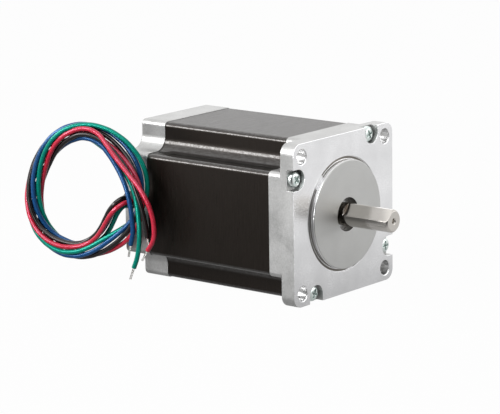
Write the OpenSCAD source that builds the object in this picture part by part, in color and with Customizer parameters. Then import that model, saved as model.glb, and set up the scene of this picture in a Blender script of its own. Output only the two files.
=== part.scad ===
// Hybrid stepper motor with a 57 mm square frame and four flying leads.
// Origin: centre of the mounting face, on the shaft's axis.
// The shaft points along -Y, the motor's rear along +Y, and +Z is up.

/* [Housing] */
// Side of the square mounting flange
flange_w = 56.4; // [54:0.1:62]
// Thickness of the flange plate with its four ears
flange_t = 5.6; // [5:0.1:9]
// Depth of the notched part of the front bell, behind the flange
bell_step = 5.2; // [4.6:0.1:9]
// Length of the laminated stator stack
stack_len = 54.2; // [30:0.1:100]
// Length of the rear bell
cap_len = 11; // [10.6:0.1:16]
// Width of each corner notch, from the flange's edge to the side of the wing
notch_w = 9.9; // [9:0.1:10.5]
// Radius of the hollow in each corner notch
notch_r = 4.8; // [3:0.1:6]
// Radius on the long outer edges of the wings
edge_r = 1.8; // [0.6:0.1:2.2]
// Radius on the flange's four corners
corner_r = 3.8; // [2:0.1:4.4]
// Step of the stator's skin behind the bells
stack_inset = 0.2; // [0.1:0.05:0.4]
// Chamfer round the rear bell's back edges
rear_chamfer = 0.7; // [0.3:0.1:1]

/* [Mounting] */
// Distance of a mounting hole's axis from the flange's two nearest edges
hole_edge = 4.63; // [4:0.01:5.2]
// Diameter of the mounting holes
hole_d = 5.1; // [4:0.1:5.4]
// Chamfer at the mouth of each mounting hole
hole_chamfer = 0.25; // [0.1:0.05:0.4]
// Diameter of the pilot boss
pilot_d = 38.1; // [36:0.1:40]
// Height of the pilot boss over the mounting face
pilot_h = 1.6; // [1:0.1:2.4]
// Chamfer on the pilot boss
pilot_chamfer = 0.3; // [0.1:0.05:0.5]
// Width of the relief groove round the pilot boss
relief_w = 1.1; // [0.5:0.1:1.6]
// Depth of the relief groove
relief_t = 0.4; // [0.2:0.1:0.8]
// Diameter of the hole that the shaft comes out of
mouth_d = 11.8; // [11:0.1:13]

/* [Through screws] */
// Diameter of the through screws
screw_d = 3; // [2.6:0.1:3.2]
// Diameter of the screw heads
head_d = 5.5; // [5:0.1:6]
// Height of the screw heads
head_h = 1.9; // [1.4:0.1:2.2]
// Distance of a screw's axis from the flange's nearest edge
screw_edge = 3; // [2.9:0.1:3.2]
// Distance of a screw's axis from the side of its wing
screw_side = 2.3; // [2.2:0.1:2.6]
// Radius of the head pockets' round end
pocket_r = 3.6; // [3.5:0.1:4]
// How far a head pocket reaches in from the flange's edge
pocket_reach = 6.1; // [6:0.1:6.6]
// Depth of the head pockets
pocket_t = 2.8; // [2.4:0.1:3]

/* [Shaft] */
// Diameter of the shaft in the bearings and outside
shaft_d = 8; // [7.6:0.1:8.4]
// Diameter of the shaft inside the rotor
core_d = 10; // [9:0.1:11]
// Distance from the mounting face to the shaft's tip
shaft_reach = 21; // [15:0.1:40]
// Depth of the flat ground on the shaft
flat_depth = 0.9; // [0.4:0.05:1]
// Distance from the mounting face to the inner end of the flat
flat_end = 2.2; // [1.8:0.1:8]
// Direction of the flat at rest, turned from straight up
flat_turn = 45; // [0:1:359]
// Chamfer on the shaft's tip
tip_chamfer = 0.6; // [0.2:0.1:1]
// Diameter of the centre hole in the shaft's tip
centre_d = 1.5; // [0.8:0.1:2.4]

/* [Bearings] */
// Outer diameter of both ball bearings
bearing_od = 22; // [21:0.1:23]
// Width of both ball bearings
bearing_w = 7; // [6.8:0.1:7.4]
// Diameter of a bearing ball
ball_d = 3.969; // [3.6:0.001:4.1]
// Half the gap between the two races' shoulders
land_gap = 1.5; // [1.4:0.05:1.6]
// Thickness of the bearing shields
shield_t = 0.35; // [0.2:0.05:0.4]

/* [Stator and rotor] */
// Share of the stack's half width that the bore's radius takes
bore_share = 0.607; // [0.57:0.001:0.64]
// Gap between the stator's teeth and the rotor's teeth
air_gap = 0.15; // [0.1:0.05:0.25]
// Depth of the teeth on stator and rotor
tooth_depth = 0.7; // [0.4:0.05:0.9]
// Width of a stator pole's neck
pole_w = 6.6; // [5:0.1:7]
// Share of the stack's half width that is iron behind the winding slots
back_share = 0.143; // [0.12:0.001:0.17]
// Thickness of the wire wound on each side of a pole
winding_t = 3; // [2:0.1:3.2]
// How far the rotor's toothed stack stands inside each end of the stator's
rotor_inset = 1.35; // [0.5:0.05:3]
// Thickness of a rotor magnet
magnet_t = 2; // [1:0.1:4]
// Thickness of the plain spacer between the two rotor stacks
spacer_t = 1.9; // [1:0.1:4]

/* [Leads] */
// Diameter over a lead's insulation
lead_d = 1.7; // [1.4:0.1:1.7]
// Diameter of a lead's tinned strands
tip_d = 0.9; // [0.6:0.05:1.1]
// Length of the stripped and tinned end
tip_len = 4.5; // [3:0.5:10]
// Diameter of the rubber grommet
grommet_d = 6.2; // [6:0.1:6.6]
// How far the grommet stands out of the rear bell
grommet_out = 4.4; // [3:0.1:6]
// Height of the grommet over the shaft's axis
grommet_z = 1.7; // [0:0.1:4]

/* [Hidden] */
$fn = 64;
// One overrun serves all cuts
over = 0.5;
half = flange_w / 2;
wing = half - notch_w;
stack_half = half - stack_inset;
stack_wing = wing - stack_inset;
bell_len = flange_t + bell_step;
stack_end = bell_len + stack_len;
rear = stack_end + cap_len;
hole_at = half - hole_edge;
pilot_r = pilot_d / 2;

// Screws stand in a pinwheel, one near the end of each wing
screw_far = half - screw_edge;
screw_near = wing - screw_side;
screw_gap = 0.2;
screw_tip_gap = 0.8;
cross_w = 0.8;
cross_len = 3.2;
cross_t = 1.1;
head_top_share = 0.62;
head_side_share = 0.45;

// Inside of the bells
bell_wall = 2.8;
cavity_r = half - bell_wall;
cavity_floor = 2.2;
front_cavity = pocket_t + cavity_floor;
hub_wall = 2.6;
bearing_r = bearing_od / 2;
hub_r = bearing_r + hub_wall;
shaft_r = shaft_d / 2;
core_r = core_d / 2;
rear_wall = 1.5;
rear_floor = 2.8;
recess_r = 8;
recess_t = 0.5;
lip = 0.4;
seat_front = 1.2;
washer_gap = 1;
washer_seat = 0.02;
washer_t = 0.35;
seat_rear = rear - rear_wall - washer_gap - bearing_w;
shaft_end_gap = 0.4;
washer_waves = 3;
washer_steps = 36;

// Ball bearing
ball_r = ball_d / 2;
ball_gap = 0.06;
pocket_gap = 0.08;
balls = 7;
first_ball_share = 0.3;
pitch_r = (bearing_r + shaft_r) / 2;
land_in = pitch_r - land_gap;
land_out = pitch_r + land_gap;
shield_inset = 0.35;
shield_seat = 0.6;
shield_gap = 0.2;
cage_half_w = 1;
cage_back = 2.6;
cage_open = 1.2;
washer_in_r = land_out + shield_seat;
washer_out_r = bearing_r - lip;

// Teeth: fifty on the rotor, six on each of the stator's eight poles
poles = 8;
pole_step = 360 / poles;
rotor_teeth = 50;
tooth_step = 360 / rotor_teeth;
pole_teeth = 6;
tooth_share = 0.45;
tooth_half = tooth_step * tooth_share / 2;
shoe_half = (pole_teeth - 1) / 2 * tooth_step + tooth_half;
bore_r = bore_share * stack_half;
rotor_r = bore_r - air_gap;
slot_r = (1 - back_share) * stack_half;
shoe_share = 0.057;
shoe_taper = 0.3;
shoe_r = bore_r + shoe_share * stack_half;
neck_r = shoe_r + shoe_taper;
pole_half = pole_w / 2;
magnet_rim = 2.8;
spacer_rim = 3.8;
rotor_len = stack_len - 2 * rotor_inset;
cup_len = (rotor_len - 2 * magnet_t - spacer_t) / 4;
rotor_start = bell_len + rotor_inset;

// Windings and their insulators
liner = 0.4;
insulator_t = 0.8;
slot_gap = 0.2;
winding_in = neck_r + liner;
winding_half = pole_half + liner + winding_t;
winding_out = sqrt(pow(slot_r - slot_gap, 2) - pow(winding_half, 2));
insulator_in = slot_r - slot_gap;
insulator_out = cavity_r - 0.75 * liner;
insulator_wall = winding_t + 0.6 * insulator_t;
shoe_pad_in = bore_r + liner;
shoe_pad_out = neck_r + slot_gap;
shoe_pad_half = 16;
board_t = 1.2;
board_share = 0.44;
board_room = cap_len - rear_floor - insulator_t - winding_t - board_t;
board_wall = insulator_t + winding_t + board_share * board_room;
board_in = hub_r + 2.5 * liner;
board_out = insulator_out - slot_gap;
board_y = stack_end + board_wall;

// Grommet and its four lead holes
grommet_r = grommet_d / 2;
grommet_neck_r = 2.6;
grommet_neck = 2.4;
grommet_back = 5.2;
grommet_round = 0.8;
grommet_y = stack_end + grommet_back;
exit_at = [-half - grommet_out, grommet_y, grommet_z];

// Leads, in winding order: red, black, blue and green
lead_r = lead_d / 2;
tip_r = tip_d / 2;
coil_sides = 6;
run_sides = 8;
rings_per_loop = 24;
loop_step = 360 / rings_per_loop;
grommet_ring = 1.5;
// Centre of the loop from the grommet's face, and the turn of its plane
coil_out = 4.4;
coil_back = 15;
coil_up = 2.1;
coil_turn = 12;
coil_mid = exit_at + [-coil_out, coil_back, coil_up];
to_rear = [-sin(coil_turn), cos(coil_turn), 0];
to_side = [-cos(coil_turn), -sin(coil_turn), 0];
to_top = [0, 0, 1];
// Outline of the loop: mean radius, oval and egg shapes, in real sizes
coil_r = 22;
oval = 1.6;
oval_at = 60;
egg = 1;
egg_at = -20;
// The bundle's ring of eight places, and its twist in turns per loop
place_r = 2.6;
place_side = 2.4;
twist = -1.5;
place_at = 127;
place_step = 45;
// Clockwise angles from the top at which the winding starts and ends
wind_from = 195;
wind_to = 720;
wind_steps = (wind_to - wind_from) / loop_step;

function unit(v) = v / norm(v);
function in_loop(q) = coil_mid + q[0] * to_rear + q[1] * to_top + q[2] * to_side;
function loop_r(a) = coil_r + oval * cos(2 * (a - oval_at)) + egg * cos(3 * (a - egg_at));
function loop_at(a, r, side) = in_loop([-r * sin(a), r * cos(a), side]);
function wound(lead, a) = let (p = place_at + lead * place_step + twist * (a - wind_from))
    loop_at(a, loop_r(a) + place_r * cos(p), place_side * sin(p));
function wound_dir(lead, a) = unit(wound(lead, a + loop_step / 24) - wound(lead, a - loop_step / 24));

// A coil's points run straight for one diameter at each end
function coil_path(lead) = concat([wound(lead, wind_from) - lead_d * wound_dir(lead, wind_from)],
    [for (k = [0:wind_steps]) wound(lead, wind_from + k * loop_step)],
    [wound(lead, wind_to) + lead_d * wound_dir(lead, wind_to)]);
function coil_dirs(lead) = concat([wound_dir(lead, wind_from)],
    [for (k = [0:wind_steps]) wound_dir(lead, wind_from + k * loop_step)], [wound_dir(lead, wind_to)]);

// Route of the four leads' middle from the grommet to the coil, from its face
exit_mid = [[0, 0, 0], [-1.6, 0, 0], [-3.4, 0.5, -0.8], [-4.7, 2.1, -3.2], [-4.5, 4.8, -7.2],
    [-3.6, 7.8, -11.2], [-3, 11.4, -15], [-3.6, 15.4, -17.9]];
exit_plane = unit([0, 1, 1.7]);
function across(dir, plane) = unit(cross(dir, plane));
function spot(dir, plane, q) = q[0] * across(dir, plane) + q[1] * cross(dir, across(dir, plane));
function exit_end() = loop_at(wind_from, loop_r(wind_from), 0);
function exit_start_spot(lead) = let (a = place_at + 90 + 1.5 * place_step + (lead - 1.5) * 90)
    grommet_ring * [cos(a), sin(a)];
function exit_end_spot(lead) = let (d = wound_dir(lead, wind_from), v = wound(lead, wind_from) - exit_end())
    [v * across(d, exit_plane), v * cross(d, across(d, exit_plane))];
function path_dir(path, k) = unit(path[min(k + 1, len(path) - 1)] - path[max(k - 1, 0)]);
exit_last = len(exit_mid) - 1;
function exit_path(lead) = concat([for (k = [0:exit_last])
        let (d = k < 2 ? [-1, 0, 0] : path_dir(concat(exit_mid, [exit_end() - exit_at]), k),
            share = max(0, k - 1) / (exit_last - 1))
        exit_at + exit_mid[k] + spot(d, exit_plane,
            (1 - share) * exit_start_spot(lead) + share * exit_end_spot(lead))],
    [coil_path(lead)[0]]);

// Routes of the tails past the coil's end: rearwards, up and out from the loop's middle
tail_routes = [
    [[-6, 22, 3], [-10, 19, 4.2], [-13.5, 15.5, 5.2], [-17, 12, 5.7], [-20.5, 8.5, 6.1], [-24, 5, 6.5],
        [-27, 1, 6.8], [-29, -3.5, 6.8], [-30, -8.5, 6.7], [-29.5, -13.5, 6.5], [-27, -17.5, 6.2]],
    [[-6.3, 20, 2.6], [-10.6, 17.4, 2.9], [-14.4, 14, 3.3], [-17.8, 10.2, 3.8], [-20.6, 6, 4.5],
        [-22.8, 1.4, 5], [-24.6, -3.4, 5.2], [-25.8, -8.4, 5.2], [-26.4, -13.4, 5.1]],
    [[-6.2, 18, 1.8], [-10, 15, 2.6], [-13.2, 11.3, 3.2], [-16, 7.2, 3.8], [-18.2, 2.8, 4.4],
        [-19.5, -2, 4.7], [-20.2, -7, 4.8], [-20.4, -12, 4.7], [-19.2, -16.6, 4.3]],
    [[-5.8, 16.8, 0], [-9.8, 14.2, 0.5], [-13.4, 11, 1.2], [-16.8, 7.4, 1.9], [-19.6, 3.2, 2.7],
        [-21.5, -1.4, 3.6], [-22.6, -6.3, 4.4], [-23.2, -11.3, 5], [-23, -16.3, 5.2],
        [-22, -21, 5], [-20.7, -24.5, 5]]];
function tail_path(lead) = let (c = coil_path(lead))
    concat([c[len(c) - 1]], [for (q = tail_routes[lead]) in_loop(q)]);

function run_dirs(path, from, to) = [for (k = [0:len(path) - 1])
    k == 0 ? from : k == len(path) - 1 && norm(to) > 0 ? to : path_dir(path, k)];

for (lead = [0:3]) let (c = coil_path(lead), skip = rings_per_loop / 2)
    echo(str("lead ", lead, " coil: least gap to itself ", min([for (j = [0:len(c) - 1])
        for (k = [j + skip:1:len(c) - 1]) norm(c[j] - c[k]) - lead_d]), " mm"));

// Extrudes a flat outline, drawn in X and Z, from y0 along +Y
module slab(y0, t) translate([0, y0 + t, 0]) rotate([90, 0, 0]) linear_extrude(t) children();

// Spins an outline of radius and Y about the shaft's axis
module spun(points) rotate([-90, 0, 0]) rotate_extrude() polygon(points);

module rod(y0, len, r) translate([0, y0, 0]) rotate([-90, 0, 0]) cylinder(h = len, r = r);

module tube_ring(y0, len, out_r, in_r) difference() {
    rod(y0, len, out_r);
    rod(y0 - over, len + 2 * over, in_r);
}

module round_box(w, h, r) {
    square([w - 2 * r, h], center = true);
    square([w, h - 2 * r], center = true);
    for (x = [-1, 1], z = [-1, 1]) translate([x * (w / 2 - r), z * (h / 2 - r)]) circle(r);
}

// The motor's outline: a square with a hollow notch in each corner
module notched(a, w) {
    round_box(2 * w, 2 * a, edge_r);
    round_box(2 * a, 2 * w, edge_r);
    for (k = [0:3]) rotate(90 * k) difference() {
        translate([w - over, w - over]) square(notch_r + over);
        translate([w + notch_r, w + notch_r]) circle(notch_r);
    }
}

module at_screws() for (k = [0:3]) rotate([0, 90 * k, 0])
    translate([screw_far, 0, -screw_near]) children();

module at_mount_holes() for (x = [-1, 1], z = [-1, 1])
    translate([x * hole_at, 0, z * hole_at]) children();

function polar(r, a) = [r * cos(a), r * sin(a)];
function on_pole(p, out, side) = out * polar(1, p) + side * polar(1, p + 90);

// Bearing bodies, with the front face at y0
module outer_race(y0) rotate([-90, 0, 0]) rotate_extrude() difference() {
    translate([land_out, y0]) square([bearing_r - land_out, bearing_w]);
    translate([pitch_r, y0 + bearing_w / 2]) circle(ball_r + ball_gap);
    for (y = [y0 - over, y0 + bearing_w - shield_inset - shield_t])
        translate([0, y]) square([land_out + shield_seat, over + shield_inset + shield_t]);
}

module inner_race(y0) rotate([-90, 0, 0]) rotate_extrude() difference() {
    translate([shaft_r, y0]) square([land_in - shaft_r, bearing_w]);
    translate([pitch_r, y0 + bearing_w / 2]) circle(ball_r + ball_gap);
}

module at_balls(y0) for (k = [0:balls - 1]) rotate([0, 360 / balls * (k + first_ball_share), 0])
    translate([pitch_r, y0 + bearing_w / 2, 0]) children();

module ball_set(y0) at_balls(y0) sphere(ball_r);

// Crown cage: its pockets open towards one face, less wide than the ball
module cage(y0, face) difference() {
    translate([0, y0 + bearing_w / 2, 0]) mirror([0, face < 0 ? 1 : 0, 0])
        tube_ring(-cage_back, cage_back + cage_open, pitch_r + cage_half_w, pitch_r - cage_half_w);
    at_balls(y0) sphere(ball_r + pocket_gap);
}

module shield_pair(y0) for (y = [y0 + shield_inset, y0 + bearing_w - shield_inset - shield_t])
    tube_ring(y, shield_t, land_out + shield_seat, land_in + shield_gap);

module front_end_bell() color("gainsboro") difference() {
    union() {
        slab(0, flange_t) round_box(flange_w, flange_w, corner_r);
        slab(flange_t - over, bell_step + over) notched(half, wing);
        spun([[0, flange_t], [0, -pilot_h], [pilot_r - pilot_chamfer, -pilot_h],
            [pilot_r, pilot_chamfer - pilot_h], [pilot_r, flange_t]]);
    }
    tube_ring(-over, over + relief_t, pilot_r + relief_w, pilot_r);
    at_mount_holes() {
        rod(-over, flange_t + 2 * over, hole_d / 2);
        rod(flange_t, bell_step + over, hole_d / 2);
        spun([[0, -over], [hole_d / 2 + hole_chamfer + over, -over], [hole_d / 2, hole_chamfer],
            [0, hole_chamfer]]);
    }
    at_screws() {
        rod(-over, bell_len + 2 * over, screw_d / 2 + screw_gap);
        translate([screw_edge - pocket_reach + pocket_r, 0, 0]) {
            rod(-over, over + pocket_t, pocket_r);
            translate([0, -over, -pocket_r]) cube([pocket_reach, over + pocket_t, 2 * pocket_r]);
        }
    }
    rod(-pilot_h - over, pilot_h + flange_t, mouth_d / 2);
    rod(seat_front, bell_len, bearing_r);
    tube_ring(front_cavity, bell_len, cavity_r, hub_r);
    rod(seat_front + bearing_w + lip, bell_len, hub_r + over);
}

module rear_end_bell() color("silver") difference() {
    slab(stack_end, cap_len) notched(half, wing);
    tube_ring(stack_end - over, cap_len - rear_floor + over, cavity_r, hub_r);
    rod(stack_end - over, seat_rear - lip - stack_end + over, hub_r + over);
    rod(stack_end, cap_len - rear_wall, bearing_r);
    rod(rear - recess_t, over + recess_t, recess_r);
    at_screws() rod(stack_end - over, cap_len + 2 * over, screw_d / 2);
    translate([-half - over, grommet_y, grommet_z]) rotate([0, 90, 0])
        cylinder(h = bell_wall + 2 * over, r = grommet_neck_r);
    for (k = [0:3]) rotate([0, 90 * k, 0]) translate([half, rear, 0]) rotate([0, 0, 45])
        cube([rear_chamfer * sqrt(2), rear_chamfer * sqrt(2), flange_w], center = true);
}

// Air inside the stator: bore, tooth gaps and winding slots, as one outline
function slot_half(r) = asin(pole_half / r);
function pole_air(p) = concat(
    [on_pole(p, sqrt(pow(slot_r, 2) - pow(pole_half, 2)), -pole_half), on_pole(p, neck_r, -pole_half),
        polar(shoe_r, p - shoe_half)],
    [for (j = [0:pole_teeth - 1], c = [p + (j - (pole_teeth - 1) / 2) * tooth_step],
        q = concat(j == 0 ? [] : [[bore_r + tooth_depth, c - tooth_half]],
            [[bore_r, c - tooth_half], [bore_r, c], [bore_r, c + tooth_half]],
            j == pole_teeth - 1 ? [] : [[bore_r + tooth_depth, c + tooth_half]])) polar(q[0], q[1])],
    [polar(shoe_r, p + shoe_half), on_pole(p, neck_r, pole_half)],
    [for (k = [0:4]) polar(slot_r, p + slot_half(slot_r) + (pole_step - 2 * slot_half(slot_r)) * k / 4)]);

module stator_core() color("#232323") difference() {
    slab(bell_len, stack_len) notched(stack_half, stack_wing);
    slab(bell_len - over, stack_len + 2 * over)
        polygon([for (k = [0:poles - 1]) for (q = pole_air(k * pole_step)) q]);
    at_screws() rod(bell_len - over, stack_len + 2 * over, screw_d / 2 + screw_gap);
}

// Bobbin frame: an outer wall, and a pad and a low wall on each pole's shoe.
// It sits on the stack's face at y0 and stands away from it by side.
module insulator(y0, side, wall) translate([0, y0, 0]) mirror([0, side < 0 ? 1 : 0, 0]) {
    tube_ring(0, wall, insulator_out, insulator_in);
    for (k = [0:poles - 1]) rotate([0, k * pole_step, 0]) {
        translate([winding_in - liner, 0, -pole_half - liner])
            cube([insulator_in - winding_in + 2 * liner, insulator_t, 2 * (pole_half + liner)]);
        rotate([-90, -shoe_pad_half, 0]) rotate_extrude(angle = 2 * shoe_pad_half)
            translate([shoe_pad_in, 0]) square([shoe_pad_out - shoe_pad_in, insulator_wall]);
    }
}

module front_insulator() color("ivory") insulator(bell_len, -1, insulator_wall);
module rear_insulator() color("ivory") insulator(stack_end, 1, board_wall);

module winding(p) rotate([0, p, 0]) translate([winding_in, bell_len + stack_len / 2, 0])
    rotate([0, 90, 0]) linear_extrude(winding_out - winding_in) difference() {
        round_box(2 * winding_half, stack_len + 2 * (insulator_t + winding_t), winding_t);
        square([2 * (winding_half - winding_t), stack_len + 2 * insulator_t], center = true);
    }

module phase_a_windings() color("#b4622d") for (k = [0:2:poles - 1]) winding(k * pole_step);
module phase_b_windings() color("#c0703a") for (k = [1:2:poles - 1]) winding(k * pole_step);

module lead_board() color("#2f6b3c") tube_ring(board_y, board_t, board_out, board_in);

module lead_grommet() color("#1c1c1c") translate([-half, grommet_y, grommet_z])
    rotate([0, -90, 0]) rotate_extrude() {
        translate([0, -grommet_neck]) square([grommet_neck_r, grommet_neck + over]);
        square([grommet_r, grommet_out - grommet_round]);
        square([grommet_r - grommet_round, grommet_out]);
        translate([grommet_r - grommet_round, grommet_out - grommet_round]) circle(grommet_round);
    }

// Pan head with a cross recess, seated on its pocket's floor
module through_screws() color("#c9d2cf") at_screws() difference() {
    union() {
        rod(pocket_t - over, rear - screw_tip_gap - pocket_t + over, screw_d / 2);
        spun([[0, pocket_t], [0, pocket_t - head_h], [head_top_share * head_d / 2, pocket_t - head_h],
            [head_d / 2 * (1 + head_top_share) / 2, pocket_t - head_h * (1 + head_side_share) / 1.6],
            [head_d / 2, pocket_t - head_h * head_side_share], [head_d / 2, pocket_t]]);
    }
    for (a = [0, 90]) rotate([0, a, 0])
        translate([-cross_len / 2, pocket_t - head_h - over, -cross_w / 2])
            cube([cross_len, cross_t + over, cross_w]);
}

// Wave spring washer behind the rear bearing, as one faceted ring
function wave(k, top) = rear - rear_wall - washer_seat - washer_t * (1 - top)
    - (washer_gap - washer_t - 2 * washer_seat) * (1 - cos(washer_waves * k * 360 / washer_steps)) / 2;
module wave_washer() color("#8f9498") polyhedron(
    [for (k = [0:washer_steps - 1], q = [[washer_in_r, 0], [washer_out_r, 0], [washer_out_r, 1],
        [washer_in_r, 1]], a = [k * 360 / washer_steps]) [q[0] * cos(a), wave(k, q[1]), q[0] * sin(a)]],
    [for (k = [0:washer_steps - 1], j = [0:3], h = [0, 1], a = [4 * k], b = [4 * ((k + 1) % washer_steps)],
        i = [(j + 1) % 4]) h == 0 ? [a + j, a + i, b + i] : [a + j, b + i, b + j]]);

module shaft() color("#b8b2a8") difference() {
    union() {
        spun([[0, 0], [0, -shaft_reach], [shaft_r - tip_chamfer, -shaft_reach],
            [shaft_r, tip_chamfer - shaft_reach], [shaft_r, 0]]);
        rod(-over, rear - rear_wall - shaft_end_gap + over, shaft_r);
        rod(seat_front + bearing_w, seat_rear - seat_front - bearing_w, core_r);
    }
    spun([[0, -shaft_reach - over], [centre_d / 2 + over, -shaft_reach - over],
        [centre_d / 2, -shaft_reach + 0.4 * centre_d], [centre_d / 2, -shaft_reach + centre_d],
        [0, -shaft_reach + 1.4 * centre_d]]);
    rotate([0, -flat_turn, 0]) translate([-shaft_r, -shaft_reach - over, shaft_r - flat_depth])
        cube([shaft_d, shaft_reach - flat_end + over, shaft_r]);
}

// A rotor cup's laminations: how many cups and how much else lie before it,
// and the angle of its first tooth
module rotor_cup(cups, others, turn) color("#85888c")
    slab(rotor_start + cups * cup_len + others, cup_len) difference() {
        polygon([for (k = [0:rotor_teeth - 1], q = [[rotor_r - tooth_depth, -1], [rotor_r, -1],
            [rotor_r, 1], [rotor_r - tooth_depth, 1]])
            polar(q[0], turn + k * tooth_step + q[1] * tooth_half)]);
        circle(core_r);
    }

module rotor_cup_1() rotor_cup(0, 0, 0);
module rotor_cup_2() rotor_cup(1, magnet_t, tooth_step / 2);
module rotor_cup_3() rotor_cup(2, magnet_t + spacer_t, 0);
module rotor_cup_4() rotor_cup(3, 2 * magnet_t + spacer_t, tooth_step / 2);

module rotor_magnet_front() color("#3c3f42")
    tube_ring(rotor_start + cup_len, magnet_t, rotor_r - magnet_rim, core_r);
module rotor_magnet_rear() color("#3c3f42")
    tube_ring(rotor_start + rotor_len - cup_len - magnet_t, magnet_t, rotor_r - magnet_rim, core_r);
module rotor_spacer() color("#a9a396")
    tube_ring(rotor_start + 2 * cup_len + magnet_t, spacer_t, rotor_r - spacer_rim, core_r);

module front_outer_race() color("#a6adb3") outer_race(seat_front);
module front_inner_race() color("#a6adb3") inner_race(seat_front);
module front_balls() color("#d5dadd") ball_set(seat_front);
module front_cage() color("#c98f3c") cage(seat_front, -1);
module front_shields() color("#8d9296") shield_pair(seat_front);
module rear_outer_race() color("#a6adb3") outer_race(seat_rear);
module rear_inner_race() color("#a6adb3") inner_race(seat_rear);
module rear_balls() color("#d5dadd") ball_set(seat_rear);
module rear_cage() color("#c98f3c") cage(seat_rear, 1);
module rear_shields() color("#8d9296") shield_pair(seat_rear);

// Sweeps a many-sided tube along a path whose direction never meets the plane's normal
module tube(path, dirs, plane, r, sides) polyhedron(
    [for (k = [0:len(path) - 1], j = [0:sides - 1])
        path[k] + spot(dirs[k], plane, r * polar(1, j * 360 / sides))],
    concat([for (k = [0:len(path) - 2], j = [0:sides - 1], h = [0, 1], a = [k * sides],
        b = [(k + 1) * sides], i = [(j + 1) % sides]) h == 0 ? [a + j, b + i, a + i] : [a + j, b + j, b + i]],
    [for (j = [1:sides - 2]) [0, j, j + 1]],
    [for (j = [1:sides - 2], b = [(len(path) - 1) * sides]) [b, b + j + 1, b + j]]));

module exit_run(lead) let (path = exit_path(lead))
    tube(path, run_dirs(path, [-1, 0, 0], wound_dir(lead, wind_from)), exit_plane, lead_r, run_sides);
module coil(lead) tube(coil_path(lead), coil_dirs(lead), to_side, lead_r, coil_sides);
module tail(lead) let (path = tail_path(lead))
    tube(path, run_dirs(path, wound_dir(lead, wind_to), [0, 0, 0]), to_side, lead_r, run_sides);

module blue_exit() color("#24508f") exit_run(2);
module blue_coil() color("#24508f") coil(2);
module blue_tail() color("#24508f") tail(2);
module green_exit() color("#0d9467") exit_run(3);
module green_coil() color("#0d9467") coil(3);
module green_tail() color("#0d9467") tail(3);
module red_exit() color("#cf1f3c") exit_run(0);
module red_coil() color("#cf1f3c") coil(0);
module red_tail() color("#cf1f3c") tail(0);
module black_exit() color("#2a2628") exit_run(1);
module black_coil() color("#2a2628") coil(1);
module black_tail() color("#2a2628") tail(1);

// Stripped and tinned ends, straight on from the tails
module lead_tips() color("#b9bcbd") for (lead = [0:3]) let (path = tail_path(lead),
    last = path[len(path) - 1], d = unit(last - path[len(path) - 2]))
    translate(last) rotate([0, acos(d[2]), atan2(d[1], d[0])]) cylinder(h = tip_len, r = tip_r);

front_end_bell();
rear_end_bell();
stator_core();
front_insulator();
rear_insulator();
phase_a_windings();
phase_b_windings();
lead_board();
lead_grommet();
through_screws();
wave_washer();
shaft();
rotor_cup_1();
rotor_cup_2();
rotor_cup_3();
rotor_cup_4();
rotor_magnet_front();
rotor_magnet_rear();
rotor_spacer();
front_outer_race();
front_inner_race();
front_balls();
front_cage();
front_shields();
rear_outer_race();
rear_inner_race();
rear_balls();
rear_cage();
rear_shields();
blue_exit();
blue_coil();
blue_tail();
green_exit();
green_coil();
green_tail();
red_exit();
red_coil();
red_tail();
black_exit();
black_coil();
black_tail();
lead_tips();
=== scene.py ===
"""Looks of a hybrid stepper motor: bells, laminated stator, screws, shaft, bearings and wound leads.

Everything is in metres in the motor's own frame: the origin is the centre of the mounting
face, the shaft points along -Y, the motor's rear along +Y, and +Z is up.
"""

import logging
import math
from collections.abc import Iterable, Sequence
from dataclasses import dataclass
from enum import Enum

import bmesh
import bpy
from mathutils import Matrix, Vector


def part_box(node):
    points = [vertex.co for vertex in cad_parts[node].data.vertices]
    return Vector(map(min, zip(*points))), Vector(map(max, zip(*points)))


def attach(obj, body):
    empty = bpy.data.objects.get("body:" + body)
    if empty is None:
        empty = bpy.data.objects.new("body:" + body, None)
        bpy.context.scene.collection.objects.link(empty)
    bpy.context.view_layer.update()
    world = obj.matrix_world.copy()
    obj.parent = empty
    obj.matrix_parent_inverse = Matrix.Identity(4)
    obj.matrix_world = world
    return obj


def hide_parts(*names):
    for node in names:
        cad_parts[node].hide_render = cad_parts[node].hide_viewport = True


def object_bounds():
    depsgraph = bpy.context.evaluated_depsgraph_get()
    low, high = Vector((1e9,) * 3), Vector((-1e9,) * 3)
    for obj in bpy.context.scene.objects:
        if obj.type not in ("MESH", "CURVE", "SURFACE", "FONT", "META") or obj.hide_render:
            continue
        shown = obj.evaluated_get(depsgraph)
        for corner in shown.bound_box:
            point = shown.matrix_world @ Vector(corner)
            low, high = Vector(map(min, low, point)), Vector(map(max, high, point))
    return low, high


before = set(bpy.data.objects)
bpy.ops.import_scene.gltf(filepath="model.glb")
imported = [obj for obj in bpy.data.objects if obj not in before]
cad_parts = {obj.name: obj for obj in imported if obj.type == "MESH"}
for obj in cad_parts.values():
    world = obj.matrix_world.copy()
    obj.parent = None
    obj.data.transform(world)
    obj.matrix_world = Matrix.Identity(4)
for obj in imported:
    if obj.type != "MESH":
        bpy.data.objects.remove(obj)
cad_low, cad_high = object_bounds()

LOG = logging.getLogger("stepper_motor")
MM = 0.001
HOUSING = "housing"
ROTOR = "rotor"

Node = bpy.types.ShaderNode
Socket = bpy.types.NodeSocket
Profile = Sequence[tuple[float, float]]


class Shape(Enum):
    """How one solid is joined to another."""

    ADD = "UNION"
    CUT = "DIFFERENCE"


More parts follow.
